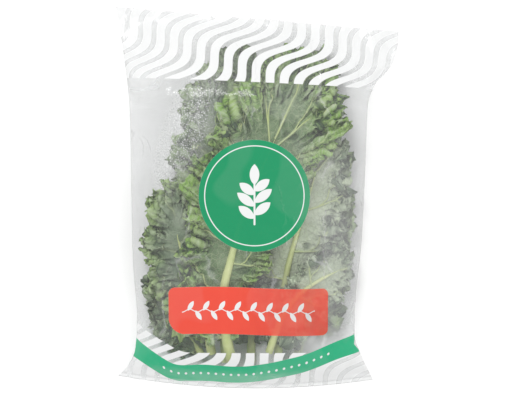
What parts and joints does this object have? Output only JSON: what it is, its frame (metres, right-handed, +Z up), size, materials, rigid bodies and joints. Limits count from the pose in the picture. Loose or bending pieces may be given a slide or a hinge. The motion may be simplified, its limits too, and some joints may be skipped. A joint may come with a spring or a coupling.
{
  "type": "kale bunch",
  "caption": "Bunch of curly kale, stems down, in a clear produce sleeve that is sealed at the bottom, open at the top and printed with bands, a disc and a label.",
  "frame": {"origin": "under the middle of the sleeve, on the surface that it lies on", "axes": "+X to the right of the printed face, +Y from the sealed bottom and cut stems to the open mouth, +Z up out of the printed face"},
  "size_m": [0.2494, 0.337, 0.0757],
  "materials": {
    "film": "thin clear film, glossy, faintly milky",
    "leaf_upper_side": "dark green waxy leaf, semi-matt",
    "leaf_underside": "pale grey-green leaf underside, matt, with pale midrib and stem"
  },
  "bodies": {
    "root": {"film_sleeve": "film", "kale_leaf_1_back_centre": "leaf_upper_side", "kale_leaf_2_back_right": "leaf_upper_side", "kale_leaf_3_back_left": "leaf_upper_side", "kale_leaf_4_low_left": "leaf_upper_side", "kale_leaf_5_left": "leaf_upper_side", "kale_leaf_6_right": "leaf_underside", "kale_leaf_7_low_right": "leaf_underside", "kale_leaf_8_front": "leaf_underside"}
  },
  "joints": []
}
